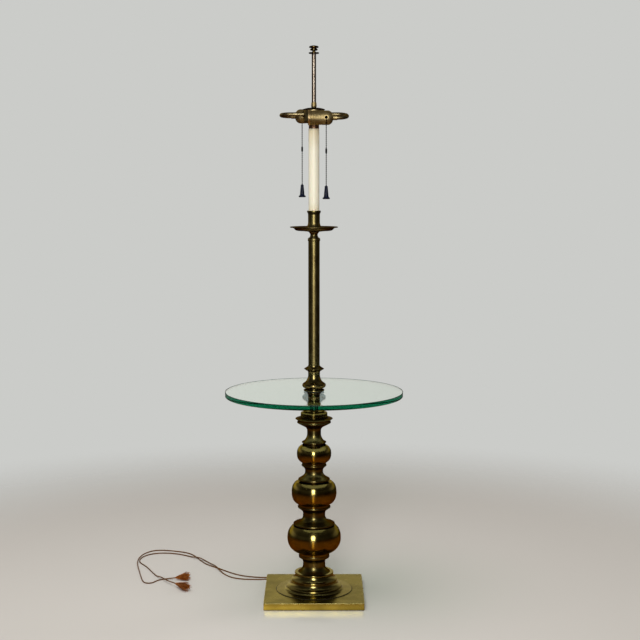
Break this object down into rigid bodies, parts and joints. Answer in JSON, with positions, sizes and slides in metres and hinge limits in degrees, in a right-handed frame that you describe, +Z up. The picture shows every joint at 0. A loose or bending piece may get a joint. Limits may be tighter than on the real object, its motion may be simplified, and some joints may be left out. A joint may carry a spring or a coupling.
{
  "type": "floor lamp with table",
  "caption": "Brass floor lamp on a square base, with turned balls, a round glass table on the column and a two-light pull-chain cluster.",
  "frame": {"origin": "centre of the felt under the square base, on the floor", "axes": "+Z up the column; the front faces -Y; +X to the right as seen from the front"},
  "size_m": [0.7304, 0.6491, 1.41],
  "materials": {
    "antique_brass": "polished, aged to olive brown",
    "green_felt": "matt felt",
    "cast_iron": "rough casting",
    "zinc_steel": "zinc plated",
    "dark_plastic": "moulded",
    "rubber_washer": "matt",
    "float_glass": "clear float glass with a green edge",
    "cream_sleeve": "satin",
    "dark_bronze": "dark bronze",
    "porcelain": "glazed",
    "plain_brass": "bright stamped brass",
    "fibre_liner": "pressed fibre",
    "bead_chain": "dark blued",
    "navy_plastic": "moulded, near black",
    "amber_cord": "amber brown",
    "copper_wire": "bare copper strands"
  },
  "bodies": {
    "stand": {"felt_pad": "green_felt", "base_weight": "cast_iron", "base_plate": "antique_brass", "pipe_nuts": "zinc_steel", "pipe_washers": "zinc_steel", "threaded_pipe": "zinc_steel", "cord_bushing": "dark_plastic", "stepped_foot": "antique_brass", "lower_neck": "antique_brass", "ball_large": "antique_brass", "middle_neck": "antique_brass", "ball_medium": "antique_brass", "upper_neck": "antique_brass", "ball_small": "antique_brass", "tray_neck": "antique_brass", "seat_rings": "antique_brass", "tray_dish": "antique_brass", "glass_seat": "antique_brass", "glass_washers": "rubber_washer", "glass_table": "float_glass", "glass_clamp": "antique_brass", "vase": "antique_brass", "pole_cup": "antique_brass", "pole_tube": "antique_brass", "pole_cap": "antique_brass", "drip_neck": "antique_brass", "drip_plate": "antique_brass", "candle_cup": "antique_brass", "cluster_collar": "dark_bronze", "cluster_body": "antique_brass", "cluster_cap": "antique_brass", "arm_left": "antique_brass", "arm_right": "antique_brass", "socket_cores": "porcelain", "screw_shells": "plain_brass", "centre_contacts": "plain_brass", "socket_liners": "fibre_liner", "chain_outlets": "antique_brass", "riser_coupling": "antique_brass", "riser_tube": "antique_brass", "shade_disc": "antique_brass", "cord_strand_a": "amber_cord", "cord_strand_b": "amber_cord", "cord_ends": "copper_wire", "front_socket_shell": "antique_brass", "front_socket_cap": "antique_brass", "back_socket_shell": "antique_brass", "back_socket_cap": "antique_brass"},
    "front_pull_chain": {"front_upper_chain": "bead_chain"},
    "front_hanging_chain": {"front_lower_chain": "bead_chain", "front_pull_bell": "navy_plastic"},
    "front_lead": {"front_chain_lead": "bead_chain"},
    "front_switch": {"front_switch_drum": "zinc_steel"},
    "back_pull_chain": {"back_upper_chain": "bead_chain"},
    "back_hanging_chain": {"back_lower_chain": "bead_chain", "back_pull_bell": "navy_plastic"},
    "back_lead": {"back_chain_lead": "bead_chain"},
    "back_switch": {"back_switch_drum": "zinc_steel"},
    "finial": {"finial": "antique_brass"},
    "sleeve": {"candle_sleeve": "cream_sleeve"}
  },
  "joints": [
    {"name": "front_pull", "type": "slide", "parent": "stand", "child": "front_pull_chain", "axis": [0, 0, -1], "range_m": [0, 0.008], "stiffness_N_per_m": 400, "springref_m": -0.002},
    {"name": "front_lead_feed", "type": "slide", "parent": "stand", "child": "front_lead", "axis": [0, -1, 0], "range_m": [0, 0.008]},
    {"name": "front_switch_turn", "type": "hinge", "parent": "stand", "child": "front_switch", "pos_m": [0.0305, -0.046, 1.2244], "axis": [1, 0, 0], "range_deg": [0, 92]},
    {"name": "front_chain_swing", "type": "hinge", "parent": "front_pull_chain", "child": "front_hanging_chain", "pos_m": [0.0305, -0.0738, 1.1555], "axis": [1, 0, 0], "range_deg": [-60, 60]},
    {"name": "back_pull", "type": "slide", "parent": "stand", "child": "back_pull_chain", "axis": [0, 0, -1], "range_m": [0, 0.008], "stiffness_N_per_m": 400, "springref_m": -0.002},
    {"name": "back_lead_feed", "type": "slide", "parent": "stand", "child": "back_lead", "axis": [0, 1, 0], "range_m": [0, 0.008]},
    {"name": "back_switch_turn", "type": "hinge", "parent": "stand", "child": "back_switch", "pos_m": [-0.0305, 0.046, 1.2319], "axis": [-1, 0, 0], "range_deg": [0, 92]},
    {"name": "back_chain_swing", "type": "hinge", "parent": "back_pull_chain", "child": "back_hanging_chain", "pos_m": [-0.0305, 0.0738, 1.163], "axis": [1, 0, 0], "range_deg": [-60, 60]},
    {"name": "finial_turn", "type": "hinge", "parent": "stand", "child": "finial", "pos_m": [0, 0, 1.4], "axis": [0, 0, 1], "continuous": true},
    {"name": "sleeve_turn", "type": "hinge", "parent": "stand", "child": "sleeve", "pos_m": [0, 0, 1], "axis": [0, 0, 1], "continuous": true}
  ],
  "couplings": [
    {"joint": "front_lead_feed", "follows": "front_pull", "ratio": 1},
    {"joint": "front_switch_turn", "follows": "front_pull", "rad_per_m": 200},
    {"joint": "back_lead_feed", "follows": "back_pull", "ratio": 1},
    {"joint": "back_switch_turn", "follows": "back_pull", "rad_per_m": 200}
  ]
}
